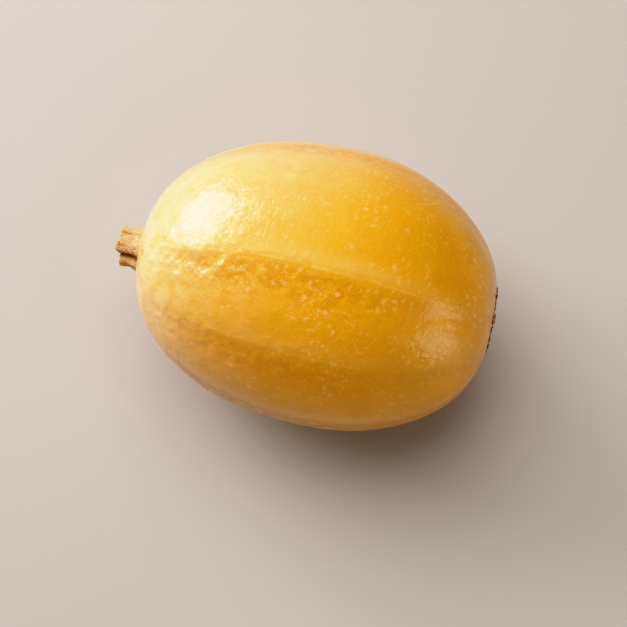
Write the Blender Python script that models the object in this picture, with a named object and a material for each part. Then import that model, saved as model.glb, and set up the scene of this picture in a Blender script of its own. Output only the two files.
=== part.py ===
"""Spaghetti squash: one ripe, oblong golden fruit lying on its flat spot, with its cut stem.

+X runs along the fruit from the stem end to the blossom end and +Z is up. The origin is the
bottom centre of the whole squash, stem included. All sizes are in metres.
"""
import math

import bmesh
import bpy
from mathutils import Matrix, Vector

# The fruit
FRUIT_LENGTH = 0.193            # from the stem pole to the flattened blossom pole
FRUIT_WIDTH = 0.150             # side to side over the ribs' crests, at the widest section
FRUIT_HEIGHT = 0.144            # top to underside, before the flat spot is taken off
WIDEST_FROM_STEM = 0.1045       # from the stem pole to the widest section
STEM_END_FULLNESS = 2.27        # power of the end's curve: 2 is an ellipse, more is blunter
BLOSSOM_END_FULLNESS = 1.99
STEM_END_LEAN = 0.065           # how much blunter the stem end is on the +Y side than midway
BLOSSOM_END_LEAN = -0.12        # the same at the blossom end, which is slimmer on that side
BLOSSOM_FLATTENING = 0.0052     # how far the blossom pole is pressed in from a round end
RIB_COUNT = 10                  # broad ribs around the fruit, running from pole to pole
RIB_DEPTH = 0.0008              # from a rib's crest to the furrow beside it
RIB_TURN = math.radians(-8)     # the upper rib, turned from the top towards -Y
FLAT_SPOT_DEPTH = 0.0014        # how far the underside is pressed flat where the fruit lay

# The stem
STEM_LENGTH = 0.0108            # from its seat on the fruit to the far corner of its cut end
STEM_BASE_RADIUS = 0.0126       # to a corner, where it spreads onto the fruit
STEM_WAIST_RADIUS = 0.0106      # to a corner, at its narrowest
STEM_TIP_RADIUS = 0.0110        # to a corner, at the cut end
STEM_CORNERS = 5                # a squash stem is five-sided, with a furrow between corners
STEM_FURROW_DEPTH = 0.0028
STEM_WAIST_AT = 0.65            # share of the way from the seat to the cut end
STEM_TURN = math.radians(-2)    # the upper corner, turned from the top towards -Y
STEM_CUT_ANGLE = math.radians(4)  # the cut leans, so that the upper corner stands out furthest

# How the stem meets the fruit
SEAT_MARGIN = 0.0012            # how much wider the fruit's flat seat is than the stem
JOINT_GAP = 0.0003              # left open between the seat and the stem

# Mesh fineness
FRUIT_SEGMENTS = 60
FRUIT_RINGS = 36
STEM_SEGMENTS = 40
STEM_RINGS = 6

FLATTENING_POWER = 8            # keeps the flattening to the last part of the blossom end
BLOSSOM_REACH = FRUIT_LENGTH + BLOSSOM_FLATTENING - WIDEST_FROM_STEM


def distance_for_share(share, reach, fullness):
    """Distance from the widest section at which an end has narrowed to a share of the widest."""
    return reach * (1 - share ** fullness) ** (1 / fullness)


# Places that follow from the sizes
SEAT_RADIUS = STEM_BASE_RADIUS + SEAT_MARGIN
SEAT_FROM_WIDEST = distance_for_share(
    SEAT_RADIUS / (min(FRUIT_WIDTH, FRUIT_HEIGHT) / 2),
    WIDEST_FROM_STEM, STEM_END_FULLNESS - abs(STEM_END_LEAN))
STEM_TIP_FROM_WIDEST = SEAT_FROM_WIDEST + JOINT_GAP + STEM_LENGTH
WIDEST_X = (STEM_TIP_FROM_WIDEST - (FRUIT_LENGTH - WIDEST_FROM_STEM)) / 2
SEAT_X = WIDEST_X - SEAT_FROM_WIDEST
AXIS_Z = FRUIT_HEIGHT / 2 - FLAT_SPOT_DEPTH


def clear_scene():
    """Remove everything that the file opened with."""
    for thing in list(bpy.data.objects):
        bpy.data.objects.remove(thing, do_unlink=True)


def make_material(name, colour, roughness):
    """A plain, non-metal surface with one colour and one roughness."""
    material = bpy.data.materials.new(name)
    material.use_nodes = True
    shader = material.node_tree.nodes["Principled BSDF"]
    shader.inputs["Base Color"].default_value = (*colour, 1)
    shader.inputs["Roughness"].default_value = roughness
    shader.inputs["Metallic"].default_value = 0
    material.diffuse_color = (*colour, 1)
    return material


def make_object(name, shape, material, place, collection):
    """Turn a finished shape into a named, smooth-shaded object at its place."""
    mesh = bpy.data.meshes.new(name)
    bmesh.ops.recalc_face_normals(shape, faces=shape.faces)
    shape.to_mesh(mesh)
    shape.free()
    mesh.shade_smooth()
    mesh.set_sharp_from_angle(angle=math.radians(40))
    mesh.materials.append(material)
    piece = bpy.data.objects.new(name, mesh)
    piece.location = place
    collection.objects.link(piece)
    return piece


def cut_flat(shape, point, outward):
    """Slice off what lies past a plane and close the slice with one flat face."""
    everything = shape.verts[:] + shape.edges[:] + shape.faces[:]
    cut = bmesh.ops.bisect_plane(
        shape, geom=everything, plane_co=point, plane_no=outward, clear_outer=True)
    rim = [part for part in cut["geom_cut"] if isinstance(part, bmesh.types.BMEdge)]
    bmesh.ops.contextual_create(shape, geom=rim)


def rib_depth_at(turn):
    """How far the skin lies below a rib's crest, at an angle around the fruit from its top."""
    return RIB_DEPTH * (1 - math.cos(RIB_COUNT * (turn - RIB_TURN))) / 2


def fruit_point(unit):
    """The skin's point, from the widest section's centre, for a point of a unit ball."""
    outward = min(math.hypot(unit.y, unit.z), 1)
    side = unit.y / outward if outward > 1e-6 else 0
    up = unit.z / outward if outward > 1e-6 else 0
    if unit.x < 0:
        reach = WIDEST_FROM_STEM
        fullness = STEM_END_FULLNESS + STEM_END_LEAN * side
        flattening = 0
    else:
        reach = BLOSSOM_REACH
        fullness = BLOSSOM_END_FULLNESS + BLOSSOM_END_LEAN * side
        flattening = BLOSSOM_FLATTENING
    along = min(abs(unit.x), 1) ** (2 / fullness)
    distance = along * reach - flattening * along ** FLATTENING_POWER
    across = (1 - along ** fullness) ** (1 / fullness)
    across *= 1 - rib_depth_at(math.atan2(side, up)) / (FRUIT_WIDTH / 2)
    return Vector((math.copysign(distance, unit.x),
                   across * side * FRUIT_WIDTH / 2,
                   across * up * FRUIT_HEIGHT / 2))


def make_fruit(collection):
    """The whole fruit: an oblong ball with two blunt ends, broad ribs, a seat and a flat spot."""
    shape = bmesh.new()
    poles_on_x = Matrix.Rotation(math.radians(90), 4, "Y")
    bmesh.ops.create_uvsphere(
        shape, u_segments=FRUIT_SEGMENTS, v_segments=FRUIT_RINGS, radius=1, matrix=poles_on_x)
    for vert in shape.verts:
        vert.co = fruit_point(vert.co)
    cut_flat(shape, Vector((-SEAT_FROM_WIDEST, 0, 0)), Vector((-1, 0, 0)))
    cut_flat(shape, Vector((0, 0, -AXIS_Z)), Vector((0, 0, -1)))
    rind = make_material("ripe_rind", colour=(0.80, 0.42, 0.035), roughness=0.35)
    return make_object("fruit", shape, rind, Vector((WIDEST_X, 0, AXIS_Z)), collection)


def stem_corner_radius(share):
    """Radius to a corner of the stem, at a share of the way from its seat to its cut end."""
    if share < STEM_WAIST_AT:
        spread = 1 - share / STEM_WAIST_AT
        return STEM_WAIST_RADIUS + (STEM_BASE_RADIUS - STEM_WAIST_RADIUS) * spread ** 2
    spread = (share - STEM_WAIST_AT) / (1 - STEM_WAIST_AT)
    return STEM_WAIST_RADIUS + (STEM_TIP_RADIUS - STEM_WAIST_RADIUS) * spread ** 2


def stem_point(unit):
    """The stem's point, from the middle of its seat, for a point of a unit cylinder."""
    share = unit.z
    turn = math.atan2(unit.x, unit.y)
    furrow = STEM_FURROW_DEPTH * (1 - math.cos(STEM_CORNERS * (turn - STEM_TURN))) / 2
    radius = stem_corner_radius(share) - furrow
    side = radius * math.sin(turn)
    up = radius * math.cos(turn)
    slant = math.tan(STEM_CUT_ANGLE) * (STEM_TIP_RADIUS - up)
    return Vector((-share * (STEM_LENGTH - slant), side, up))


def make_stem(collection):
    """The stub of stem: five corners with furrows between them, and a slanting cut end."""
    shape = bmesh.new()
    bmesh.ops.create_cone(
        shape, cap_ends=True, segments=STEM_SEGMENTS, radius1=1, radius2=1, depth=1,
        matrix=Matrix.Translation((0, 0, 0.5)))
    for ring in range(1, STEM_RINGS):
        everything = shape.verts[:] + shape.edges[:] + shape.faces[:]
        height = Vector((0, 0, ring / STEM_RINGS))
        bmesh.ops.bisect_plane(shape, geom=everything, plane_co=height, plane_no=(0, 0, 1))
    for vert in shape.verts:
        vert.co = stem_point(vert.co)
    bark = make_material("dry_stem", colour=(0.42, 0.24, 0.09), roughness=0.85)
    place = Vector((SEAT_X - JOINT_GAP, 0, AXIS_Z))
    return make_object("stem", shape, bark, place, collection)


def main():
    clear_scene()
    squash = bpy.data.collections.new("spaghetti_squash")
    bpy.context.scene.collection.children.link(squash)
    make_fruit(squash)
    make_stem(squash)


main()
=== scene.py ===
# %% [markdown]
# # A spaghetti squash, from its solid model to its finished look
#
# The solid model already fixes every size: a fruit lying on its flat spot, and a stub of stem.
# Lengths are in metres, +X runs from the stem end to the blossom end, and +Z is up.

# %% Load the solid model
import math

import bmesh
import bpy
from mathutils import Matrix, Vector, noise


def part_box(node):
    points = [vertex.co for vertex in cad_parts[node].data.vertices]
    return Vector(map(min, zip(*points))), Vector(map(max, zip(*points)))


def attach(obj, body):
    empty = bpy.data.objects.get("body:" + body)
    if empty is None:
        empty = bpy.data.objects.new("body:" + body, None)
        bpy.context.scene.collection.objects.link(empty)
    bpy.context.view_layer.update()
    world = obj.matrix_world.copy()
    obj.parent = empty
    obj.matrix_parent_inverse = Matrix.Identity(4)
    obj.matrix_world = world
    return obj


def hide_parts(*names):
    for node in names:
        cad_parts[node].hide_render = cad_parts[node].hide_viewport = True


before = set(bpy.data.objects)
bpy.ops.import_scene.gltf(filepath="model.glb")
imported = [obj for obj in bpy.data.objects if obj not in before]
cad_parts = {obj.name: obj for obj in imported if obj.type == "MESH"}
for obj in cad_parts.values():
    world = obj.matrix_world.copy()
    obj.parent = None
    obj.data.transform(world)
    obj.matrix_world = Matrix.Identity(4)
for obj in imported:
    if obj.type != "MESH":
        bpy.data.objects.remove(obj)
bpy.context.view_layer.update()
fruit_low, fruit_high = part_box("fruit")
stem_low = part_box("stem")[0]

# %% [markdown]
# ## Helpers
#
# Materials and Geometry Nodes are both trees of nodes. A tree is easier to read when one short
# function adds a node, sets it up and links it. Its companion folds a list of values into one,
# as when several masks are multiplied.

# %% Add and link nodes
MM = 0.001
# Map Range with these options is a soft step: its value, from low to high, then the two levels
SOFT_STEP = {"interpolation_type": "SMOOTHSTEP"}


def join(tree, value, node, key):
    """Link a value into a node's input, or set it there; a node stands for its own output."""
    socket = node.inputs[key]
    if isinstance(key, str):
        socket = next(each for each in node.inputs if each.name == key and each.enabled)
    if isinstance(value, bpy.types.Node):
        value = next(each for each in value.outputs if each.enabled)
    if isinstance(value, bpy.types.NodeSocket):
        tree.links.new(value, socket)
    else:
        socket.default_value = value


def add(tree, kind, inputs=(), **settings):
    """Add a node, set its options, and join its inputs, given by name or in their own order."""
    node = tree.nodes.new(kind)
    for option, value in settings.items():
        setattr(node, option, value)
    for key, value in inputs.items() if isinstance(inputs, dict) else enumerate(inputs):
        join(tree, value, node, key)
    return node


def chain(tree, kind, values, **settings):
    """Fold several values into one with nodes of the same kind, such as a product of masks."""
    result = values[0]
    for value in values[1:]:
        result = add(tree, kind, [result, value], **settings)
    return result


# %% [markdown]
# A colour is written as a painter would pick it, as an sRGB hex value, and one function turns
# it into the linear numbers that a renderer needs. Another starts a material.

# %% Colours and materials
def linear(hex_colour):
    """An sRGB hex colour as linear red, green, blue and alpha."""
    parts = [int(hex_colour[place:place + 2], 16) / 255 for place in (0, 2, 4)]
    return [part / 12.92 if part <= 0.04045 else ((part + 0.055) / 1.055) ** 2.4
            for part in parts] + [1.0]


def new_material(name, values):
    """A Principled material with some values set; gives it, its tree and its shader node."""
    material = bpy.data.materials.new(name)
    material.use_nodes = True
    shader = material.node_tree.nodes["Principled BSDF"]
    for socket, value in values.items():
        shader.inputs[socket].default_value = value
    return material, material.node_tree, shader


# %% [markdown]
# ## The camera and the light
#
# They come first, so that everything after them can be judged. The camera looks steeply down
# on the squash from the front, through a long lens, as someone standing at a table does.
# The main light is one large window behind the squash to the left. A second lamp in nearly
# the same place shows only in reflections, and makes the gleam on the wax as bright as a pane
# of sky without lighting the rind more. A broad ceiling light that casts no gleam, a small
# warm light low on the right and a glow all round soften the shadows.
# The floor is plain and pale.

# %% Camera
CAMERA_TURN = math.radians(11.8)
CAMERA_HEIGHT = math.radians(73.3)
CAMERA_DISTANCE = 0.9
CAMERA_AIM = Vector((0.0066, -0.0157, 0.07))
CAMERA_LENS = 97.2

toward_camera = Vector((
    math.sin(CAMERA_TURN) * math.cos(CAMERA_HEIGHT),
    -math.cos(CAMERA_TURN) * math.cos(CAMERA_HEIGHT),
    math.sin(CAMERA_HEIGHT)))
camera = bpy.data.objects.new("camera", bpy.data.cameras.new("camera"))
camera.data.lens = CAMERA_LENS
camera.data.clip_start = 0.01
camera.location = CAMERA_AIM + toward_camera * CAMERA_DISTANCE
camera.rotation_mode = "QUATERNION"
camera.rotation_quaternion = (-toward_camera).to_track_quat("-Z", "Y")
bpy.context.scene.collection.objects.link(camera)
bpy.context.scene.camera = camera
print("camera", [round(part, 3) for part in camera.location], "lens", CAMERA_LENS, "mm")

# %% Lights
FRUIT_MIDDLE = (fruit_low + fruit_high) / 2


def area_light(name, turn, height, distance, size, power, colour, lit=True, mirrored=True):
    """A flat rectangular light aimed at the fruit; turn is from +X towards +Y, in degrees."""
    turn, height = math.radians(turn), math.radians(height)
    way = Vector((math.cos(turn) * math.cos(height), math.sin(turn) * math.cos(height),
                  math.sin(height)))
    lamp = bpy.data.objects.new(name, bpy.data.lights.new(name, "AREA"))
    lamp.data.shape = "RECTANGLE"
    lamp.data.size, lamp.data.size_y = size
    lamp.data.energy = power
    lamp.data.color = linear(colour)[:3]
    lamp.location = FRUIT_MIDDLE + way * distance
    lamp.rotation_mode = "QUATERNION"
    lamp.rotation_quaternion = way.to_track_quat("Z", "Y")
    lamp.visible_camera = False
    lamp.visible_diffuse = lit
    lamp.visible_glossy = mirrored
    bpy.context.scene.collection.objects.link(lamp)
    print(name, power, "W")


WINDOW_SIZE = (1.5, 1.2)
WINDOW_DISTANCE = 2.0
WINDOW_POWER = 37
area_light("window", turn=156, height=24, distance=WINDOW_DISTANCE, size=WINDOW_SIZE,
           power=WINDOW_POWER, colour="FFFAF3")
area_light("window_gleam", turn=152, height=23, distance=WINDOW_DISTANCE, size=WINDOW_SIZE,
           power=WINDOW_POWER, colour="F7EDFF", lit=False)
area_light("low_light", turn=-21, height=15, distance=0.9, size=(0.42, 0.5),
           power=2.3, colour="FFF0DC")
area_light("ceiling", turn=130, height=66, distance=1.8, size=(1.8, 1.8),
           power=35, colour="FFFCF7", mirrored=False)

# %% Glow of the room
GLOW_ON_SQUASH = 0.18
GLOW_SEEN = 0.8

world = bpy.data.worlds.new("soft_room")
world.use_nodes = True
sky = world.node_tree.nodes["Background"]
sky.inputs["Color"].default_value = linear("F3EFEA")
seen = add(world.node_tree, "ShaderNodeLightPath").outputs["Is Camera Ray"]
glow = add(world.node_tree, "ShaderNodeMapRange", [seen, 0.0, 1.0, GLOW_ON_SQUASH, GLOW_SEEN],
           **SOFT_STEP)
join(world.node_tree, glow, sky, "Strength")
bpy.context.scene.world = world
print("glow", GLOW_ON_SQUASH, "on the squash,", GLOW_SEEN, "where the camera sees past the floor")

# %% Tones
# How film answers light, as shares of the white level and of full brightness: shadows sink a
# little, middle tones stay, and highlights roll off gently up to twice the brightness of white.
WHITE_LEVEL = 2.0
FILM_RESPONSE = ((0.012, 0.004), (0.03, 0.028), (0.05, 0.066), (0.1, 0.176), (0.2, 0.4),
                 (0.3, 0.61), (0.4, 0.78), (0.5, 0.87), (0.7, 0.95))

view = bpy.context.scene.view_settings
view.view_transform = "Standard"
view.use_curve_mapping = True
film = view.curve_mapping
film.white_level = (WHITE_LEVEL, WHITE_LEVEL, WHITE_LEVEL)
for light_in, light_out in FILM_RESPONSE:
    film.curves[3].points.new(light_in, light_out)
film.update()
print("tone curve", len(FILM_RESPONSE), "points")

# %% Floor
FLOOR_HALF_WIDTH = 1.5

floor_shape = bmesh.new()
bmesh.ops.create_grid(floor_shape, x_segments=1, y_segments=1, size=FLOOR_HALF_WIDTH)
floor = bpy.data.objects.new("floor", bpy.data.meshes.new("floor"))
floor_shape.to_mesh(floor.data)
floor_shape.free()
bpy.context.scene.collection.objects.link(floor)
# painted board, rolled and left matt: it gives the eye an even tone and no reflection
floor_paint, _, _ = new_material(
    "matt_painted_board", {"Base Color": linear("B6B0AB"), "Roughness": 0.6})
floor.data.materials.append(floor_paint)
print("floor", 2 * FLOOR_HALF_WIDTH, "m wide")

# %% [markdown]
# ## The pattern of the ribs
#
# Ten strands of harder tissue run under the rind from end to end. They hold the fruit back as
# it swells, which leaves ten furrows, each with a crisp shoulder on its upper side. The shape
# and the colour both follow them, so one function builds the nodes that say where a point
# lies across its rib, 0 at one furrow and 1 at the next, and how strong the nearest furrow is.
# A little noise lets the furrows wander, and a fixed seed gives each its own strength.

# %% Where a point lies across its rib
RIB_COUNT = 10
RIB_SEED = 343.5
FIRST_FURROW = math.radians(-18.5)
# how far the ribs turn along the fruit, in radians for each metre
RIB_TWIST = -0.5
# distances from the axis of the fruit at which the ribs begin and reach their full strength
RIB_START = 9 * MM
RIB_FULL = 42 * MM
RIB_WANDER = math.radians(8)
RIB_WANDER_LENGTH = 90 * MM
WIDEST_X = fruit_low.x + 103.25 * MM
AXIS_Z = 70.6 * MM
HALF_WIDTH = 75 * MM
HALF_HEIGHT = 72 * MM


def rib_place(tree, position):
    """Nodes for the place across a rib and the strength of the nearest furrow, both 0 to 1."""
    centred = add(tree, "ShaderNodeVectorMath", [position, (0, 0, AXIS_Z)], operation="SUBTRACT")
    section = add(
        tree, "ShaderNodeVectorMath", [centred, (1, 1 / HALF_WIDTH, 1 / HALF_HEIGHT)],
        operation="MULTIPLY")
    parts = add(tree, "ShaderNodeSeparateXYZ", [section]).outputs
    turn = add(tree, "ShaderNodeMath", [parts["Y"], parts["Z"]], operation="ARCTAN2")
    drift = add(tree, "ShaderNodeTexNoise",
                {"Vector": position, "Scale": 1 / RIB_WANDER_LENGTH, "Detail": 1.0})
    drift = add(tree, "ShaderNodeMath", [drift, 0.5], operation="SUBTRACT")
    turn = add(tree, "ShaderNodeMath", [drift, RIB_WANDER, turn], operation="MULTIPLY_ADD")
    lengthwise = add(tree, "ShaderNodeSeparateXYZ", [position]).outputs["X"]
    turn = add(tree, "ShaderNodeMath", [lengthwise, -RIB_TWIST, turn], operation="MULTIPLY_ADD")
    ribs = add(tree, "ShaderNodeMath", [turn, FIRST_FURROW], operation="SUBTRACT")
    ribs = add(tree, "ShaderNodeMath", [ribs, RIB_COUNT / math.tau], operation="MULTIPLY")
    across = add(tree, "ShaderNodeMath", [ribs], operation="FRACT")
    nearest = add(tree, "ShaderNodeMath", [ribs], operation="ROUND")
    nearest = add(tree, "ShaderNodeMath", [nearest, float(RIB_COUNT), 0.0], operation="WRAP")
    nearest = add(tree, "ShaderNodeMath", [nearest, RIB_SEED], operation="ADD")
    strength = add(tree, "ShaderNodeTexWhiteNoise", {"W": nearest}, noise_dimensions="1D")
    flat = add(tree, "ShaderNodeVectorMath", [centred, (0, 1, 1)], operation="MULTIPLY")
    from_axis = add(tree, "ShaderNodeVectorMath", [flat], operation="LENGTH").outputs["Value"]
    strength = chain(
        tree, "ShaderNodeMath",
        [strength, add(tree, "ShaderNodeMapRange", [from_axis, RIB_START, RIB_FULL], **SOFT_STEP)],
        operation="MULTIPLY")
    return across, strength


print(RIB_COUNT, "ribs, first furrow at", round(math.degrees(FIRST_FURROW), 1), "degrees")

# %% [markdown]
# ## The rind: its material
#
# Rind is the living skin of the fruit under a thin coat of its own wax, so it is glossy like
# an eggshell glaze and not like plastic: the reflection of a window has soft edges and is
# broken up by fine dimples. The colour is a strong gold, cream where the stem held on, deeper
# in the furrows and towards the blossom end, and strewn with soft cream flecks where the rind
# healed over small scratches while it grew. The colour also holds painted light: painted shade
# deepens the furrows beyond their own tone, the crests are paler, each shoulder has a line
# of painted highlight over a line of painted shade, and a painted sheen lies on the +Y side.
#
# Everything is drawn from Object coordinates, in real sizes, so it can't slide or stretch.

# %% Marks strewn over a surface
# higher makes small marks commoner than large ones
FLECK_SPREAD = 1.6
# keeps the edge of the smallest mark from having no width
FLECK_LEAST = 0.01 * MM


def flecks(tree, place, normal, spacing, length, width, share, blur=0.8):
    """Nodes for soft marks, at most one to a cell of a Voronoi pattern, each turned its own way."""
    cell = add(tree, "ShaderNodeTexVoronoi", {"Vector": place, "Scale": 1 / spacing})
    # from the middle of the cell's mark to this point, laid flat on the surface
    away = add(
        tree, "ShaderNodeVectorMath", [place, cell.outputs["Position"]], operation="SUBTRACT")
    height = add(tree, "ShaderNodeVectorMath", [away, normal], operation="DOT_PRODUCT")
    height = add(tree, "ShaderNodeVectorMath", {0: normal, "Scale": height.outputs["Value"]},
                 operation="SCALE")
    flat = add(tree, "ShaderNodeVectorMath", [away, height], operation="SUBTRACT")
    # a mark is longer than wide, so a distance along it counts for less
    chance = cell.outputs["Color"]
    lie = add(tree, "ShaderNodeVectorMath", [chance, (0.5, 0.5, 0.5)], operation="SUBTRACT")
    lie = add(tree, "ShaderNodeVectorMath", [lie], operation="NORMALIZE")
    along = add(tree, "ShaderNodeVectorMath", [flat, lie], operation="DOT_PRODUCT")
    along = along.outputs["Value"]
    far = add(tree, "ShaderNodeVectorMath", [flat, flat], operation="DOT_PRODUCT")
    squeeze = 1 - (width / length) ** 2
    along = chain(tree, "ShaderNodeMath", [along, along, squeeze], operation="MULTIPLY")
    far = add(tree, "ShaderNodeMath", [far.outputs["Value"], along], operation="SUBTRACT")
    far = add(tree, "ShaderNodeMath", [far, 0.0], operation="MAXIMUM")
    far = add(tree, "ShaderNodeMath", [far], operation="SQRT")
    # only a share of the cells holds a mark, and few of these have the full width
    luck = add(tree, "ShaderNodeSeparateXYZ", [chance]).outputs["Z"]
    reach = add(tree, "ShaderNodeMapRange", {"Value": luck, "From Min": 1 - share, "From Max": 1.0})
    reach = add(tree, "ShaderNodeMath", [reach, FLECK_SPREAD], operation="POWER")
    reach = add(tree, "ShaderNodeMath", [reach, width], operation="MULTIPLY")
    edge = add(tree, "ShaderNodeMath", [reach, 1 - blur], operation="MULTIPLY")
    reach = add(tree, "ShaderNodeMath", [reach, FLECK_LEAST], operation="ADD")
    return add(tree, "ShaderNodeMapRange",
               {"Value": far, "From Min": edge, "From Max": reach, "To Min": 1.0, "To Max": 0.0},
               interpolation_type="SMOOTHSTEP")


# %% Rind: base colour from end to end
WAX_IOR = 1.45

# the coat is the wax, which gives the eye a bright soft gleam over a duller skin
rind_material, rind, rind_shader = new_material("waxy_grown_rind", {
    "IOR": WAX_IOR, "Coat Weight": 0.7, "Coat Roughness": 0.12, "Coat IOR": WAX_IOR})
at_rind = add(rind, "ShaderNodeTexCoord").outputs
place = at_rind["Object"]
parts = add(rind, "ShaderNodeSeparateXYZ", [place]).outputs
cloud = add(rind, "ShaderNodeTexNoise",
            {"Vector": place, "Scale": 1 / (22 * MM), "Detail": 3.0, "Roughness": 0.55})
mottle = add(rind, "ShaderNodeTexNoise",
             {"Vector": place, "Scale": 1 / (6 * MM), "Detail": 3.0, "Roughness": 0.6})
# the clouds move each colour's place by up to this length, and on average by half of it
CLOUD_SHIFT = 50 * MM
shift = add(rind, "ShaderNodeMath", [cloud, CLOUD_SHIFT, parts["X"]], operation="MULTIPLY_ADD")
length_share = add(rind, "ShaderNodeMapRange",
                   {"Value": shift, "From Min": fruit_low.x + CLOUD_SHIFT / 2,
                    "From Max": fruit_high.x + CLOUD_SHIFT / 2})
length_colour = add(rind, "ShaderNodeValToRGB", [length_share])
stops = ((0.0, "F7CE96"), (0.05, "F4BC70"), (0.13, "F0AC54"), (0.34, "EFA740"),
         (0.52, "E99F18"), (0.8, "D09000"), (1.0, "CA8B00"))
ramp = length_colour.color_ramp
while len(ramp.elements) < len(stops):
    ramp.elements.new(0.5)
for element, (share, colour) in zip(ramp.elements, stops):
    element.position = share
    element.color = linear(colour)
print("base colour", len(stops), "stops from the stem to the blossom")

# %% Rind: furrows
across_rib, furrow_strength = rib_place(rind, place)
ragged_rib = add(rind, "ShaderNodeMath", [mottle, 0.5], operation="SUBTRACT")
ragged_rib = add(rind, "ShaderNodeMath", [ragged_rib, 0.16, across_rib], operation="MULTIPLY_ADD")
# the furrows' colours, with their painted shade and light, are plainest in the middle of the
# fruit's length
fade = chain(
    rind, "ShaderNodeMath",
    [
        add(rind, "ShaderNodeMapRange", [parts["X"], 20 * MM, 85 * MM, 1.0, 0.15], **SOFT_STEP),
        add(rind, "ShaderNodeMapRange", [parts["X"], -88 * MM, -45 * MM, 0.1, 1.0], **SOFT_STEP)],
    operation="MULTIPLY")
# the gold deepens down the slope into the furrow, and ends at the shoulder: partly the
# furrow's own deeper tone and partly painted shade
below_shoulder = add(rind, "ShaderNodeMath", [ragged_rib, 0.42], operation="ADD")
below_shoulder = add(rind, "ShaderNodeMath", [below_shoulder], operation="FRACT")
below_shoulder = chain(
    rind, "ShaderNodeMath",
    [
        add(rind, "ShaderNodeMapRange", [below_shoulder, 0.05, 0.4], **SOFT_STEP),
        add(rind, "ShaderNodeMapRange", [below_shoulder, 0.5, 0.68, 1.0, 0.0], **SOFT_STEP)],
    operation="MULTIPLY")
furrow_gold_and_shade = chain(
    rind, "ShaderNodeMath", [below_shoulder, furrow_strength, fade], operation="MULTIPLY")
# the crest of a rib is paler, partly its own tone and partly painted light, and this ends by
# its middle, where the nearest furrow changes
rib_crest_and_light = chain(
    rind, "ShaderNodeMath",
    [
        fade, furrow_strength,
        add(rind, "ShaderNodeMapRange", [ragged_rib, 0.1, 0.33], **SOFT_STEP),
        add(rind, "ShaderNodeMapRange", [across_rib, 0.26, 0.49, 1.0, 0.0], **SOFT_STEP)],
    operation="MULTIPLY")
furrow_blotch_and_shade = chain(
    rind, "ShaderNodeMath",
    [furrow_gold_and_shade, add(rind, "ShaderNodeMapRange", [mottle, 0.42, 0.54], **SOFT_STEP)],
    operation="MULTIPLY")
# a thin line of painted shade and a thin line of painted highlight draw the shoulder's edge,
# broken up by the mottle
shoulder_line = chain(
    rind, "ShaderNodeMath",
    [
        furrow_strength, fade,
        add(rind, "ShaderNodeMapRange", [mottle, 0.35, 0.6, 0.2, 1.0], **SOFT_STEP)],
    operation="MULTIPLY")
shoulder_shade_line = chain(
    rind, "ShaderNodeMath",
    [
        shoulder_line, add(rind, "ShaderNodeMapRange", [across_rib, 0.225, 0.24], **SOFT_STEP),
        add(rind, "ShaderNodeMapRange", [across_rib, 0.245, 0.265, 1.0, 0.0], **SOFT_STEP)],
    operation="MULTIPLY")
shoulder_highlight_line = chain(
    rind, "ShaderNodeMath",
    [
        shoulder_line, add(rind, "ShaderNodeMapRange", [across_rib, 0.195, 0.21], **SOFT_STEP),
        add(rind, "ShaderNodeMapRange", [across_rib, 0.214, 0.23, 1.0, 0.0], **SOFT_STEP)],
    operation="MULTIPLY")
print("rind material so far", len(rind.nodes), "nodes")

# %% Rind: clouds, painted sheen and the pale ground spot
near_stem = add(
    rind, "ShaderNodeMapRange",
    [parts["X"], fruit_low.x + 4 * MM, fruit_low.x + 60 * MM, 1.0, 0.0], **SOFT_STEP)
cream_cloud = chain(
    rind, "ShaderNodeMath",
    [near_stem, add(rind, "ShaderNodeMapRange", [mottle, 0.36, 0.66], **SOFT_STEP)],
    operation="MULTIPLY")
gold_cloud = add(rind, "ShaderNodeMapRange", [cloud, 0.42, 0.62], **SOFT_STEP)
# a painted sheen: the +Y side, which faces the window's light, is paler, and most of all
# the half of it nearest the stem
painted_sheen = chain(
    rind, "ShaderNodeMath",
    [
        add(rind, "ShaderNodeMapRange", [parts["Y"], -5 * MM, 55 * MM], **SOFT_STEP),
        add(rind, "ShaderNodeMapRange", [parts["X"], 55 * MM, -30 * MM], **SOFT_STEP),
        add(rind, "ShaderNodeMapRange", [mottle, 0.3, 0.6, 0.6, 1.0], **SOFT_STEP)],
    operation="MULTIPLY")
# where the fruit lay on the ground it stayed pale
ground_spot = add(
    rind, "ShaderNodeMath", [cloud, -20 * MM, parts["Z"]], operation="MULTIPLY_ADD")
ground_spot = add(
    rind, "ShaderNodeMapRange", [ground_spot, -6 * MM, 6 * MM, 0.8, 0.0], **SOFT_STEP)
print("rind material so far", len(rind.nodes), "nodes")

# %% Rind: flecks, scratches and pinholes
bend = add(rind, "ShaderNodeTexNoise",
           {"Vector": place, "Scale": 1 / (3 * MM), "Detail": 3.0, "Roughness": 0.7})
bend = add(
    rind, "ShaderNodeVectorMath", [bend.outputs["Color"], (0.5, 0.5, 0.5)], operation="SUBTRACT")
bend = add(rind, "ShaderNodeVectorMath", {0: bend, "Scale": 3.0 * MM}, operation="SCALE")
bent_place = add(rind, "ShaderNodeVectorMath", [place, bend], operation="ADD")
normal = at_rind["Normal"]
where_flecked = add(rind, "ShaderNodeTexNoise",
                    {"Vector": place, "Scale": 1 / (20 * MM), "Detail": 2.0})
where_flecked = chain(
    rind, "ShaderNodeMath",
    [
        add(rind, "ShaderNodeMapRange", [where_flecked, 0.4, 0.58, 0.15, 1.0], **SOFT_STEP),
        add(rind, "ShaderNodeMapRange", [parts["X"], -10 * MM, 70 * MM, 1.0, 0.6], **SOFT_STEP)],
    operation="MULTIPLY")
dots = flecks(rind, bent_place, normal, spacing=8 * MM, length=3.2 * MM, width=2.4 * MM,
              share=0.75, blur=0.95)
dots = add(rind, "ShaderNodeMath", [where_flecked, dots], operation="MULTIPLY")
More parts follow.
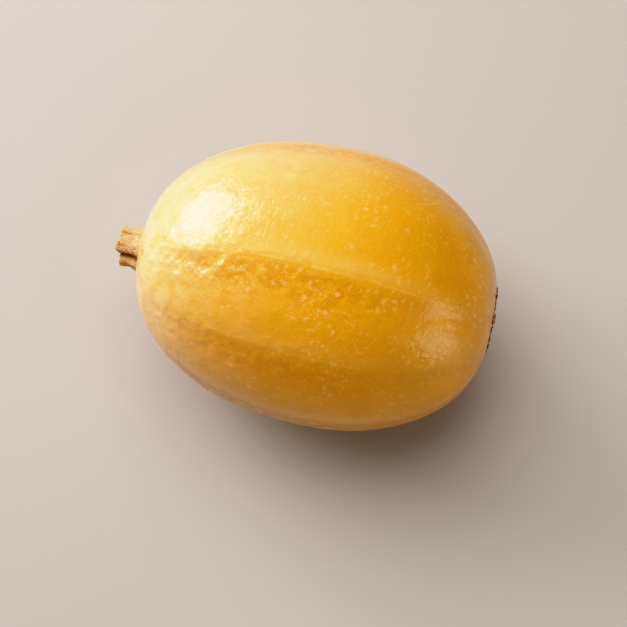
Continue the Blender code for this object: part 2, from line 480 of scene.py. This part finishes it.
dashes = flecks(rind, bent_place, normal, spacing=9 * MM, length=5.5 * MM, width=1.7 * MM,
                share=0.8, blur=0.95)
dashes = add(rind, "ShaderNodeMath", [where_flecked, dashes], operation="MULTIPLY")
scratches = flecks(rind, place, normal, spacing=21 * MM, length=9 * MM, width=0.45 * MM, share=0.5)
specks = add(rind, "ShaderNodeTexNoise",
             {"Vector": place, "Scale": 1 / (1.9 * MM), "Detail": 2.0, "Roughness": 0.5})
specks = chain(
    rind, "ShaderNodeMath",
    [add(rind, "ShaderNodeMapRange", [specks, 0.55, 0.72], **SOFT_STEP), where_flecked],
    operation="MULTIPLY")
pinholes = flecks(rind, place, normal, spacing=15 * MM, length=0.6 * MM, width=0.45 * MM,
                  share=0.25)
print("rind material so far", len(rind.nodes), "nodes")

# %% Rind: lay the colours over each other
rind_colour = length_colour.outputs["Color"]
for mask, strength, colour in (
        (gold_cloud, 0.3, "EBA31A"),
        (painted_sheen, 0.6, "F7BF8C"),
        (rib_crest_and_light, 0.4, "F6C36C"),
        (furrow_gold_and_shade, 0.34, "DE9600"),
        (furrow_blotch_and_shade, 0.65, "D28800"),
        (cream_cloud, 0.4, "FADCA4"),
        (shoulder_shade_line, 0.14, "D88A10"),
        (shoulder_highlight_line, 0.3, "F6CC70"),
        (specks, 0.35, "F8D090"),
        (dots, 0.4, "FAD59A"),
        (dashes, 0.4, "F9D090"),
        (scratches, 0.4, "F4CC86"),
        (ground_spot, 1.0, "EFD9A6"),
        (pinholes, 0.85, "6A3E12")):
    amount = add(rind, "ShaderNodeMath", [mask, strength], operation="MULTIPLY")
    rind_colour = add(rind, "ShaderNodeMix",
                      {"Factor": amount, "A": rind_colour, "B": linear(colour)},
                      data_type="RGBA")
join(rind, rind_colour, rind_shader, "Base Color")

# %% Rind: gloss and fine relief
gloss = add(rind, "ShaderNodeMapRange", [mottle, 0.3, 0.7, 0.42, 0.54], **SOFT_STEP)
join(rind, gloss, rind_shader, "Roughness")
dimples = add(rind, "ShaderNodeTexNoise",
              {"Vector": place, "Scale": 1 / (3.0 * MM), "Detail": 3.0, "Roughness": 0.55})
cracks = add(rind, "ShaderNodeTexVoronoi", {"Vector": bent_place, "Scale": 1 / (4.0 * MM)},
             feature="DISTANCE_TO_EDGE")
cracks = add(
    rind, "ShaderNodeMapRange", [cracks.outputs["Distance"], 0.0, 0.1, -1.0, 0.0], **SOFT_STEP)
# all this is too shallow to need shaping in the mesh, so it is bump
relief = add(rind, "ShaderNodeMath", [dimples, 0.22 * MM], operation="MULTIPLY")
for mask, height in ((cracks, 0.045 * MM), (dots, 0.05 * MM), (dashes, 0.05 * MM),
                     (pinholes, -0.15 * MM), (scratches, 0.03 * MM)):
    relief = add(rind, "ShaderNodeMath", [mask, height, relief], operation="MULTIPLY_ADD")
bump = add(rind, "ShaderNodeBump", {"Height": relief, "Distance": 1.0})
join(rind, bump, rind_shader, "Normal")
join(rind, bump, rind_shader, "Coat Normal")
print("rind material", len(rind.nodes), "nodes")

# %% [markdown]
# ## The rind: its shape
#
# A squash swells between two fixed ends, so its outline follows a rule: an oval with blunt
# ends, pressed in a little at the blossom. It could be sculpted, but a rule is easier to
# change, so Geometry Nodes bend a ball into it. The sizes are the solid model's own.
# The furrows, lumps and flat spot are real relief here, because a bump map would not show
# along the edge of the fruit. Two helpers come first. One makes a tree with a named input for
# each size, and the other runs it once and keeps the result as a plain mesh.

# %% Make and run a Geometry Nodes tree
def new_geometry_tree(name, sizes):
    """A Geometry Nodes tree with a named input for each size, and the outputs of its input node."""
    tree = bpy.data.node_groups.new(name, "GeometryNodeTree")
    for size, value in sizes.items():
        kind = "NodeSocketInt" if isinstance(value, int) else "NodeSocketFloat"
        tree.interface.new_socket(size, in_out="INPUT", socket_type=kind)
    tree.interface.new_socket("Geometry", in_out="OUTPUT", socket_type="NodeSocketGeometry")
    return tree, add(tree, "NodeGroupInput").outputs


def grow(name, tree, sizes, material):
    """Run a Geometry Nodes tree once and keep the result as an ordinary smooth mesh."""
    piece = bpy.data.objects.new(name, bpy.data.meshes.new(name + "_start"))
    bpy.context.scene.collection.objects.link(piece)
    modifier = piece.modifiers.new("grow", "NODES")
    modifier.node_group = tree
    for socket in tree.interface.items_tree:
        if socket.in_out == "INPUT":
            modifier[socket.identifier] = sizes[socket.name]
    ready = piece.evaluated_get(bpy.context.evaluated_depsgraph_get())
    mesh = bpy.data.meshes.new_from_object(ready)
    piece.modifiers.remove(modifier)
    piece.data = mesh
    mesh.name = name
    mesh.materials.clear()
    mesh.materials.append(material)
    mesh.shade_smooth()
    print(name, len(mesh.polygons), "faces")
    return piece


# %% Sizes of the rind
RIND = {
    "Segments": 384,
    "Rings": 250,
    "Stem Reach": 104.5 * MM,
    "Blossom Reach": 93.7 * MM,
    "Stem Fullness": 2.27,
    "Stem Lean": 0.065,
    "Blossom Fullness": 1.99,
    "Blossom Lean": -0.12,
    "Flattening": 5.2 * MM,
    "Rib Relief": 1.15 * MM,
    "Swell": 1.6 * MM,
    "Lump": 0.9 * MM,
    "Furrow Lump": 1.7 * MM,
}
SEAT_X = fruit_low.x
print("rind", RIND["Segments"], "faces round and", RIND["Rings"], "along")

# %% Bend a ball into the fruit
BLOSSOM_PRESS_POWER = 8.0

shape, given = new_geometry_tree("rind_shape", RIND)
ball = add(shape, "GeometryNodeMeshUVSphere",
           {"Segments": given["Segments"], "Rings": given["Rings"]})
ball = add(shape, "GeometryNodeTransform", {"Geometry": ball, "Rotation": (0, math.radians(90), 0)})
# the ball has a radius of 1: X runs along the fruit, and the spoke points out from its axis
unit = add(shape, "ShaderNodeSeparateXYZ", [add(shape, "GeometryNodeInputPosition")]).outputs
spoke = add(shape, "ShaderNodeCombineXYZ", {"Y": unit["Y"], "Z": unit["Z"]})
spoke = add(shape, "ShaderNodeVectorMath", [spoke], operation="NORMALIZE")
side = add(shape, "ShaderNodeSeparateXYZ", [spoke]).outputs["Y"]
at_blossom = add(shape, "ShaderNodeMath", [unit["X"], 0.0], operation="GREATER_THAN")
# the outline is a superellipse, whose power is the fullness: 2 would be a plain oval
stem_fullness = add(
    shape, "ShaderNodeMath", [given["Stem Lean"], side, given["Stem Fullness"]],
    operation="MULTIPLY_ADD")
blossom_fullness = add(
    shape, "ShaderNodeMath", [given["Blossom Lean"], side, given["Blossom Fullness"]],
    operation="MULTIPLY_ADD")
fullness = add(shape, "ShaderNodeMix",
               {"Factor": at_blossom, "A": stem_fullness, "B": blossom_fullness})
reach = add(shape, "ShaderNodeMix",
            {"Factor": at_blossom, "A": given["Stem Reach"], "B": given["Blossom Reach"]})
flattening = add(shape, "ShaderNodeMath", [at_blossom, given["Flattening"]], operation="MULTIPLY")
power = add(shape, "ShaderNodeMath", [2.0, fullness], operation="DIVIDE")
along = add(shape, "ShaderNodeMath", [unit["X"]], operation="ABSOLUTE")
along = add(shape, "ShaderNodeMath", [along, 1.0], operation="MINIMUM")
along = add(shape, "ShaderNodeMath", [along, power], operation="POWER")
pressed = add(shape, "ShaderNodeMath", [along, BLOSSOM_PRESS_POWER], operation="POWER")
pressed = add(shape, "ShaderNodeMath", [pressed, flattening], operation="MULTIPLY")
distance = add(shape, "ShaderNodeMath", [along, reach], operation="MULTIPLY")
distance = add(shape, "ShaderNodeMath", [distance, pressed], operation="SUBTRACT")
toward = add(shape, "ShaderNodeMath", [unit["X"]], operation="SIGN")
distance = add(shape, "ShaderNodeMath", [toward, distance, WIDEST_X], operation="MULTIPLY_ADD")
across = add(shape, "ShaderNodeMath", [along, fullness], operation="POWER")
across = add(shape, "ShaderNodeMath", [1.0, across], operation="SUBTRACT")
across = add(shape, "ShaderNodeMath", [across, 0.0], operation="MAXIMUM")
root = add(shape, "ShaderNodeMath", [1.0, fullness], operation="DIVIDE")
across = add(shape, "ShaderNodeMath", [across, root], operation="POWER")
section = add(
    shape, "ShaderNodeVectorMath", [spoke, (0, HALF_WIDTH, HALF_HEIGHT)], operation="MULTIPLY")
section = add(shape, "ShaderNodeVectorMath", {0: section, "Scale": across}, operation="SCALE")
middle = add(shape, "ShaderNodeCombineXYZ", {"X": distance, "Z": AXIS_Z})
smooth_point = add(shape, "ShaderNodeVectorMath", [middle, section], operation="ADD")
fruit = add(shape, "GeometryNodeSetPosition", {"Geometry": ball, "Position": smooth_point})
print("rind shape so far", len(shape.nodes), "nodes")

# %% [markdown]
# The relief is pushed out along the surface. One curve draws the section of a rib, from
# furrow to furrow: a steep rise to the shoulder, then a long gentle slope. Slow noise makes
# the fruit a little uneven, and finer noise gives the lumps that catch the light.

# %% Ribs
here = add(shape, "GeometryNodeInputPosition")
here_x = add(shape, "ShaderNodeSeparateXYZ", [here]).outputs["X"]
across_rib, furrow_strength = rib_place(shape, here)
profile = add(shape, "ShaderNodeFloatCurve", {"Value": across_rib})
RIB_CREST = 0.82
profile_points = ((0.0, 0.0), (0.12, 0.34), (0.25, 0.74), (0.38, 0.91), (0.5, RIB_CREST),
                  (0.72, 0.5), (0.88, 0.16), (1.0, 0.0))
curve = profile.mapping.curves[0]
curve.points[0].location = profile_points[0]
curve.points[1].location = profile_points[-1]
for point in profile_points[1:-1]:
    curve.points.new(*point)
profile.mapping.update()
ribs = add(shape, "ShaderNodeMath", [profile, RIB_CREST], operation="SUBTRACT")
# the ribs are weak at the stem, where the rind is drawn tight
from_stem = add(shape, "ShaderNodeMapRange", [here_x, fruit_low.x, fruit_low.x + 50 * MM, 0.2, 1.0],
                **SOFT_STEP)
ribs = chain(shape, "ShaderNodeMath", [ribs, furrow_strength, from_stem], operation="MULTIPLY")
height = add(shape, "ShaderNodeMath", [ribs, given["Rib Relief"]], operation="MULTIPLY")
print("section of a rib", len(profile_points), "points")

# %% Swells and lumps
# the rind is lumpy at the stem end and calmer towards the blossom
calm = add(shape, "ShaderNodeMapRange", [here_x, -40 * MM, 50 * MM, 1.0, 0.3], **SOFT_STEP)
for size, amount, detail, share in ((55 * MM, "Swell", 0.0, 1.0), (9 * MM, "Lump", 2.0, calm)):
    bumps = add(shape, "ShaderNodeTexNoise",
                {"Vector": here, "Scale": 1 / size, "Detail": detail, "Roughness": 0.5})
    bumps = add(shape, "ShaderNodeMath", [bumps, 0.5], operation="SUBTRACT")
    bumps = add(shape, "ShaderNodeMath", [bumps, share], operation="MULTIPLY")
    height = add(shape, "ShaderNodeMath", [bumps, given[amount], height], operation="MULTIPLY_ADD")
# the lumps in a furrow are long and bent, and strongest along its bottom
long_lumps = add(shape, "ShaderNodeTexNoise",
            {"Vector": here, "Scale": 1 / (6 * MM), "Detail": 1.0, "Distortion": 0.6})
long_lumps = add(shape, "ShaderNodeMath", [long_lumps, 0.5], operation="SUBTRACT")
from_furrow = add(shape, "ShaderNodeMath", [across_rib, 0.5], operation="PINGPONG")
in_furrow = add(shape, "ShaderNodeMapRange", [from_furrow, 0.05, 0.45, 1.0, 0.1], **SOFT_STEP)
long_lumps = chain(
    shape, "ShaderNodeMath",
    [long_lumps, given["Furrow Lump"], in_furrow, furrow_strength, calm], operation="MULTIPLY")
height = add(shape, "ShaderNodeMath", [height, long_lumps], operation="ADD")
out = add(shape, "ShaderNodeVectorMath",
          {0: add(shape, "GeometryNodeInputNormal"), "Scale": height}, operation="SCALE")
fruit = add(shape, "GeometryNodeSetPosition", {"Geometry": fruit, "Offset": out})
print("rind shape so far", len(shape.nodes), "nodes")

# %% Flat spot and seat of the stem
SEAT_EDGE = 1.0 * MM
FLAT_SPOT_EDGE = 0.6 * MM

rough = add(shape, "ShaderNodeSeparateXYZ", [add(shape, "GeometryNodeInputPosition")]).outputs
rested_x = add(shape, "ShaderNodeMath", [rough["X"], SEAT_X, SEAT_EDGE], operation="SMOOTH_MAX")
rested_z = add(shape, "ShaderNodeMath", [rough["Z"], 0.0, FLAT_SPOT_EDGE], operation="SMOOTH_MAX")
rested = add(shape, "ShaderNodeCombineXYZ", {"X": rested_x, "Y": rough["Y"], "Z": rested_z})
fruit = add(shape, "GeometryNodeSetPosition", {"Geometry": fruit, "Position": rested})
fruit = add(shape, "GeometryNodeRealizeInstances", {"Geometry": fruit})
fruit = add(shape, "GeometryNodeSetMaterial", {"Geometry": fruit, "Material": rind_material})
add(shape, "NodeGroupOutput", {"Geometry": fruit})
squash_rind = grow("squash_rind", shape, RIND, rind_material)
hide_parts("fruit")
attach(squash_rind, "root")

# %% [markdown]
# ## The stem
#
# The stub left by the grower's knife is dry wood: a five-sided stalk with a hollow pith, its
# sides drawn into furrows as it dried. The furrows differ, so it isn't a plain star. It is
# lofted ring by ring in mesh code, because a loft between unlike sections is only a formula
# for a radius. Its side is lengthened a little into the rind, so that no gap can show.

# %% Material of the stem
# Stem wood that dried on the fruit and was cut with a knife is matt and straw-coloured. It
# gives the eye long pale fibres, dark pores between them and brown stains, and painted shade
# darkens its furrows and its pith.
stem_material, wood, wood_shader = new_material("dried_stem_wood", {"IOR": 1.45})
wood_place = add(wood, "ShaderNodeTexCoord").outputs["Object"]
fibre_place = add(wood, "ShaderNodeMapping", {"Vector": wood_place, "Scale": (0.22, 1.0, 1.0)})
fibres = add(wood, "ShaderNodeTexNoise",
             {"Vector": fibre_place, "Scale": 1 / (0.9 * MM), "Detail": 4.0, "Roughness": 0.65})
grains = add(wood, "ShaderNodeTexNoise",
             {"Vector": wood_place, "Scale": 1 / (0.8 * MM), "Detail": 2.0, "Roughness": 0.6})
stains = add(wood, "ShaderNodeTexNoise",
             {"Vector": wood_place, "Scale": 1 / (5 * MM), "Detail": 2.0})
# painted shade that the loft stores on the stem, darker the deeper a furrow is, and in the pith
hollow_shade = add(wood, "ShaderNodeAttribute", attribute_name="hollow_shade").outputs["Fac"]
wood_colour = linear("C79B66")
for mask, strength, colour in (
        (add(wood, "ShaderNodeMapRange", [fibres, 0.42, 0.6], **SOFT_STEP), 0.6, "DDB683"),
        (add(wood, "ShaderNodeMapRange", [stains, 0.45, 0.65], **SOFT_STEP), 0.45, "B67F45"),
        (add(wood, "ShaderNodeMapRange", [grains, 0.56, 0.66], **SOFT_STEP), 0.6, "F0D3A8"),
        (add(wood, "ShaderNodeMapRange", [grains, 0.44, 0.34], **SOFT_STEP), 0.7, "7E5220"),
        (add(wood, "ShaderNodeMapRange", [hollow_shade, 0.25, 0.95], **SOFT_STEP), 0.8, "6E4C1C")):
    amount = add(wood, "ShaderNodeMath", [mask, strength], operation="MULTIPLY")
    wood_colour = add(wood, "ShaderNodeMix",
                      {"Factor": amount, "A": wood_colour, "B": linear(colour)},
                      data_type="RGBA")
join(wood, wood_colour, wood_shader, "Base Color")
wood_gloss = add(wood, "ShaderNodeMapRange", [fibres, 0.3, 0.7, 0.72, 0.95], **SOFT_STEP)
join(wood, wood_gloss, wood_shader, "Roughness")
wood_relief = add(wood, "ShaderNodeMath", [grains, 0.25 * MM], operation="MULTIPLY")
wood_relief = add(wood, "ShaderNodeMath", [fibres, 0.3 * MM, wood_relief], operation="MULTIPLY_ADD")
join(wood, add(wood, "ShaderNodeBump", {"Height": wood_relief, "Distance": 1.0}),
     wood_shader, "Normal")
print("stem material", len(wood.nodes), "nodes")

# %% Sizes of the stem
STEM_SEGMENTS = 300
STEM_RINGS = 70
STEM_FACE_RINGS = 44
STEM_ROOT_X = SEAT_X + 1.2 * MM
STEM_BASE_RADIUS = 14.0 * MM
STEM_WAIST_RADIUS = 10.6 * MM
STEM_TIP_RADIUS = 11.2 * MM
# the waist lies at this share of the length, from the rind to the cut
STEM_WAIST_SHARE = 0.6
# how far its five flat sides lie inside a circle, and how far they are turned, in radians
STEM_FLAT_DEPTH = 0.5 * MM
STEM_TURN = 0.03
# the furrows have this share of their depth at the rind, and all of it at the cut
FURROW_START = 0.72
DARKEST_FURROW = 3.4 * MM
# steps of the noise in a metre: fibres are ten times as long as they are wide
FIBRE_STEPS_ALONG = 90
FIBRE_STEPS_ACROSS = 900
LUMP_STEPS = 260
# the edge of the cut is rounded off over this last share of the length
STEM_EDGE_SHARE = 0.06
STEM_EDGE_ROUND = 0.35 * MM
# the cut leans, has one corner that stands out, and is torn where the fibres broke; turns
# are in radians, and the corner's half width is in degrees
CUT_LEAN = 1.3 * MM
CUT_LEAN_TURN = 1.2
CUT_CORNER = 2.4 * MM
CUT_CORNER_TURN = -0.42
CUT_CORNER_HALF_WIDTH = 16
CUT_TORN = 0.5 * MM
# the face swells a little between its edge and its middle, and sinks there and at the pith
FACE_SWELL = 0.15 * MM
FACE_SINK = 0.5 * MM
PITH_RADIUS = 2.6 * MM
PITH_DEPTH = 0.9 * MM
# each furrow: its turn and half its width in degrees, and its depth
STEM_FURROWS = ((-49, 12, 3.1 * MM), (32, 5, 1.9 * MM), (104, 12, 2.6 * MM), (177, 13, 3.0 * MM),
                (-122, 12, 2.6 * MM), (68, 3, 0.5 * MM), (-84, 3, 0.6 * MM))
print("stem", len(STEM_FURROWS), "furrows")


# %% Shape of the stem as formulas
def stem_hollow(turn):
    """How deep the furrows are drawn in at this turn, in metres."""
    depth = 0
    for middle, half_width, deepest in STEM_FURROWS:
        away = (math.degrees(turn) - middle + 180) % 360 - 180
        depth += deepest * math.exp(-abs(away / half_width) ** 2.6)
    return depth


def stem_radius(share, turn):
    """Radius of the stem at a share of its length, from the rind to the cut."""
    to_base = max(0, 1 - share / STEM_WAIST_SHARE)
    to_tip = max(0, (share - STEM_WAIST_SHARE) / (1 - STEM_WAIST_SHARE))
    waist = STEM_WAIST_RADIUS + (STEM_BASE_RADIUS - STEM_WAIST_RADIUS) * to_base ** 1.5
    flare = (STEM_TIP_RADIUS - STEM_WAIST_RADIUS) * to_tip ** 2
    five_sides = -STEM_FLAT_DEPTH * (1 - math.cos(5 * (turn + STEM_TURN))) / 2
    furrow_share = FURROW_START + (1 - FURROW_START) * share
    return waist + flare + five_sides - stem_hollow(turn) * furrow_share


def stem_roughness(point):
    """Fibres that run along the stem, and coarser lumps, as a height."""
    fibre = noise.noise(Vector((
        point.x * FIBRE_STEPS_ALONG, point.y * FIBRE_STEPS_ACROSS, point.z * FIBRE_STEPS_ACROSS)))
    lump = noise.noise(point * LUMP_STEPS)
    return 0.28 * MM * fibre + 0.35 * MM * lump


def cut_x(turn, radius):
    """Where the knife and the drying left the cut end, for a turn and a radius."""
    lean = CUT_LEAN * math.cos(turn - CUT_LEAN_TURN)
    away = (turn - CUT_CORNER_TURN + math.pi) % math.tau - math.pi
    corner = CUT_CORNER * math.exp(-(math.degrees(away) / CUT_CORNER_HALF_WIDTH) ** 2)
    torn = CUT_TORN * noise.noise(Vector((math.cos(turn) * 6, math.sin(turn) * 6, radius * 900)))
    return stem_low.x - 0.1 * MM - lean - corner * radius / STEM_TIP_RADIUS + torn


print("cut end, at its top edge", round(cut_x(0, STEM_TIP_RADIUS), 4))

# %% Loft the stem
# the first rings run along the side, and the rest run inwards over the cut end
stem_shape = bmesh.new()
# each point keeps its painted shade: darker the deeper its furrow, and darkest in the pith
hollow_shade_layer = stem_shape.verts.layers.float.new("hollow_shade")
rings = []
for ring in range(STEM_RINGS + STEM_FACE_RINGS):
    verts = []
    for segment in range(STEM_SEGMENTS):
        turn = math.tau * segment / STEM_SEGMENTS
        if ring < STEM_RINGS:
            share = ring / (STEM_RINGS - 1)
            radius = stem_radius(share, turn)
            near_edge = max(0, (share - (1 - STEM_EDGE_SHARE)) / STEM_EDGE_SHARE)
            radius -= STEM_EDGE_ROUND * near_edge ** 2
            x = STEM_ROOT_X + (cut_x(turn, radius) - STEM_ROOT_X) * share
            dark = stem_hollow(turn) / DARKEST_FURROW
        else:
            share = (ring - STEM_RINGS + 1) / (STEM_FACE_RINGS + 1)
            radius = (stem_radius(1, turn) - STEM_EDGE_ROUND) * (1 - share)
            in_pith = math.exp(-(radius / PITH_RADIUS) ** 4)
            x = cut_x(turn, radius) - FACE_SWELL * math.sin(math.pi * share)
            x += PITH_DEPTH * in_pith + FACE_SINK * share
            dark = 0.2 + 0.8 * in_pith
        point = Vector((x, radius * math.sin(turn), radius * math.cos(turn)))
        rough = stem_roughness(point) * (1 if ring < STEM_RINGS else 0.5)
        if ring < STEM_RINGS:
            point += Vector((0, math.sin(turn), math.cos(turn))) * rough
        else:
            point.x += rough
        vert = stem_shape.verts.new(point + Vector((0, 0, AXIS_Z)))
        vert[hollow_shade_layer] = dark
        verts.append(vert)
    rings.append(verts)
for inner, outer in zip(rings, rings[1:]):
    for segment in range(STEM_SEGMENTS):
        after = (segment + 1) % STEM_SEGMENTS
        stem_shape.faces.new((inner[segment], inner[after], outer[after], outer[segment]))
stem_shape.faces.new(rings[0])
stem_shape.faces.new(rings[-1])
bmesh.ops.recalc_face_normals(stem_shape, faces=stem_shape.faces)
squash_stem = bpy.data.objects.new("squash_stem", bpy.data.meshes.new("squash_stem"))
stem_shape.to_mesh(squash_stem.data)
stem_shape.free()
squash_stem.data.materials.append(stem_material)
squash_stem.data.shade_smooth()
bpy.context.scene.collection.objects.link(squash_stem)
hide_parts("stem")
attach(squash_stem, "root")
print("squash_stem", len(squash_stem.data.polygons), "faces")

# %% [markdown]
# ## The blossom scar
#
# Where the flower sat, the rind closes in a ring of dark cork, broken into flakes. Flakes that
# follow a surface are work for Geometry Nodes: a circle of points is thrown onto the rind,
# each point gets one flattened crumb, turned and sized at random with a fixed seed, and a
# thin uneven thread of cork joins them. A second, small circle of crumbs makes the nub where
# the flower's style broke off.

# %% Material of the scar
# Cork that the fruit grew over its wound dries dark, matt and crumbly, and gives the eye
# specks of two browns.
cork_material, cork, cork_shader = new_material(
    "blossom_scar_cork", {"Roughness": 0.9, "IOR": 1.45})
cork_place = add(cork, "ShaderNodeTexCoord").outputs["Object"]
cork_grain = add(cork, "ShaderNodeTexNoise",
                 {"Vector": cork_place, "Scale": 1 / (0.7 * MM), "Detail": 3.0, "Roughness": 0.7})
cork_pale = add(cork, "ShaderNodeMapRange", [cork_grain, 0.4, 0.62], **SOFT_STEP)
cork_colour = add(cork, "ShaderNodeMix",
                  {"Factor": cork_pale, "A": linear("3A2614"), "B": linear("8A6038")},
                  data_type="RGBA")
join(cork, cork_colour, cork_shader, "Base Color")
cork_relief = add(cork, "ShaderNodeMath", [cork_grain, 0.3 * MM], operation="MULTIPLY")
join(cork, add(cork, "ShaderNodeBump", {"Height": cork_relief, "Distance": 1.0}),
     cork_shader, "Normal")
print("cork material", len(cork.nodes), "nodes")

# %% Sizes of the scar
SCAR = {
    "Ring Radius": 15.5 * MM,
    "Ring Wander": 6.0 * MM,
    "Crumbs": 92,
    "Crumb": 0.9 * MM,
    "Thread": 0.3 * MM,
    "Nub Radius": 2.4 * MM,
    "Nub Crumbs": 26,
    "Seed": 5,
}
NUB_SEED = 9
# how far a crumb may lie from the line of its ring
SCATTER = 1.6 * MM
print("scar", SCAR["Crumbs"] + SCAR["Nub Crumbs"], "crumbs")

# %% Where the crumbs land
scar, size = new_geometry_tree("scar_shape", SCAR)
rind_surface = add(scar, "GeometryNodeObjectInfo", {"Object": squash_rind}).outputs["Geometry"]
turned = {"Rotation": (0, math.radians(90), 0), "Translation": (fruit_high.x + 0.01, 0, AXIS_Z)}
spot = add(scar, "GeometryNodeInputPosition")
wander = add(scar, "ShaderNodeTexNoise", {"Vector": spot, "Scale": 1 / (9 * MM), "Detail": 2.0})
wander = add(
    scar, "ShaderNodeVectorMath", [wander.outputs["Color"], (0.5, 0.5, 0.5)], operation="SUBTRACT")
wander = add(scar, "ShaderNodeVectorMath", {0: wander, "Scale": size["Ring Wander"]},
             operation="SCALE")
spot = add(scar, "ShaderNodeVectorMath", [spot, wander], operation="ADD")
landing = add(scar, "GeometryNodeRaycast",
              {"Target Geometry": rind_surface, "Source Position": spot,
               "Ray Direction": (-1, 0, 0), "Ray Length": 1.0}).outputs


# %% A crumb on each point
def crumbs_on(points, crumb_size, seed):
    """Nodes that put one flattened, turned crumb of cork on each point, on the rind."""
    landed = add(scar, "GeometryNodeSetPosition",
                 {"Geometry": points, "Position": landing["Hit Position"]})
    crumb = add(scar, "GeometryNodeMeshIcoSphere", {"Radius": crumb_size, "Subdivisions": 2})
    facing = add(scar, "FunctionNodeAlignRotationToVector", {"Vector": (1, 0, 0)}, axis="Z")
    spun = add(scar, "FunctionNodeRandomValue",
               {"Min": (-0.3, -0.3, 0), "Max": (0.3, 0.3, math.tau), "Seed": seed},
               data_type="FLOAT_VECTOR")
    facing = add(scar, "FunctionNodeRotateRotation", {"Rotation": facing, "Rotate By": spun},
                 rotation_space="LOCAL")
    scaled = add(scar, "FunctionNodeRandomValue",
                 {"Min": (0.35, 0.3, 0.25), "Max": (1.9, 0.9, 0.55), "Seed": seed},
                 data_type="FLOAT_VECTOR")
    return add(scar, "GeometryNodeInstanceOnPoints",
               {"Points": landed, "Instance": crumb, "Rotation": facing, "Scale": scaled})


# %% The points of the ring and the nub
ring = add(scar, "GeometryNodeCurvePrimitiveCircle",
           {"Resolution": 240, "Radius": size["Ring Radius"]}).outputs["Curve"]
ring = add(scar, "GeometryNodeTransform", {"Geometry": ring, **turned})
ring_points = add(scar, "GeometryNodeCurveToPoints", {"Curve": ring, "Count": size["Crumbs"]})
ring_points = ring_points.outputs["Points"]
scatter = add(scar, "FunctionNodeRandomValue",
              {"Min": (0, -SCATTER, -SCATTER), "Max": (0, SCATTER, SCATTER),
               "Seed": size["Seed"]},
              data_type="FLOAT_VECTOR")
ring_points = add(scar, "GeometryNodeSetPosition", {"Geometry": ring_points, "Offset": scatter})
nub = add(scar, "GeometryNodeCurvePrimitiveCircle",
          {"Resolution": 60, "Radius": size["Nub Radius"]}).outputs["Curve"]
nub = add(scar, "GeometryNodeTransform", {"Geometry": nub, **turned})
nub_points = add(scar, "GeometryNodeCurveToPoints", {"Curve": nub, "Count": size["Nub Crumbs"]})
nub_points = add(scar, "GeometryNodeSetPosition",
                 {"Geometry": nub_points.outputs["Points"], "Offset": scatter})
print("scar shape so far", len(scar.nodes), "nodes")

# %% The thread of cork
thread = add(scar, "GeometryNodeSetPosition",
             {"Geometry": ring, "Position": landing["Hit Position"]})
uneven = add(scar, "ShaderNodeTexNoise",
             {"Vector": add(scar, "GeometryNodeInputPosition"), "Scale": 1 / (4 * MM)})
uneven = add(scar, "ShaderNodeMapRange", [uneven, 0.44, 0.62, 0.05, 1.5], **SOFT_STEP)
thread = add(scar, "GeometryNodeSetCurveRadius", {"Curve": thread, "Radius": uneven})
thread_section = add(scar, "GeometryNodeCurvePrimitiveCircle",
                     {"Resolution": 8, "Radius": size["Thread"]}).outputs["Curve"]
thread = add(scar, "GeometryNodeCurveToMesh",
             {"Curve": thread, "Profile Curve": thread_section,
              "Scale": add(scar, "GeometryNodeInputRadius")})
print("scar shape so far", len(scar.nodes), "nodes")

# %% Put the scar together
RAGGED = 0.9 * MM

together = add(scar, "GeometryNodeJoinGeometry")
for part in (thread, crumbs_on(ring_points, size["Crumb"], size["Seed"]),
             crumbs_on(nub_points, size["Crumb"], NUB_SEED)):
    join(scar, part, together, "Geometry")
crumbly = add(scar, "GeometryNodeRealizeInstances", {"Geometry": together})
ragged = add(scar, "ShaderNodeTexNoise",
             {"Vector": add(scar, "GeometryNodeInputPosition"), "Scale": 1 / (0.8 * MM)})
ragged = add(
    scar, "ShaderNodeVectorMath", [ragged.outputs["Color"], (0.5, 0.5, 0.5)], operation="SUBTRACT")
ragged = add(scar, "ShaderNodeVectorMath", {0: ragged, "Scale": RAGGED}, operation="SCALE")
crumbly = add(scar, "GeometryNodeSetPosition", {"Geometry": crumbly, "Offset": ragged})
crumbly = add(scar, "GeometryNodeSetMaterial", {"Geometry": crumbly, "Material": cork_material})
add(scar, "NodeGroupOutput", {"Geometry": crumbly})
blossom_scar = grow("blossom_scar", scar, SCAR, cork_material)
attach(blossom_scar, "root")
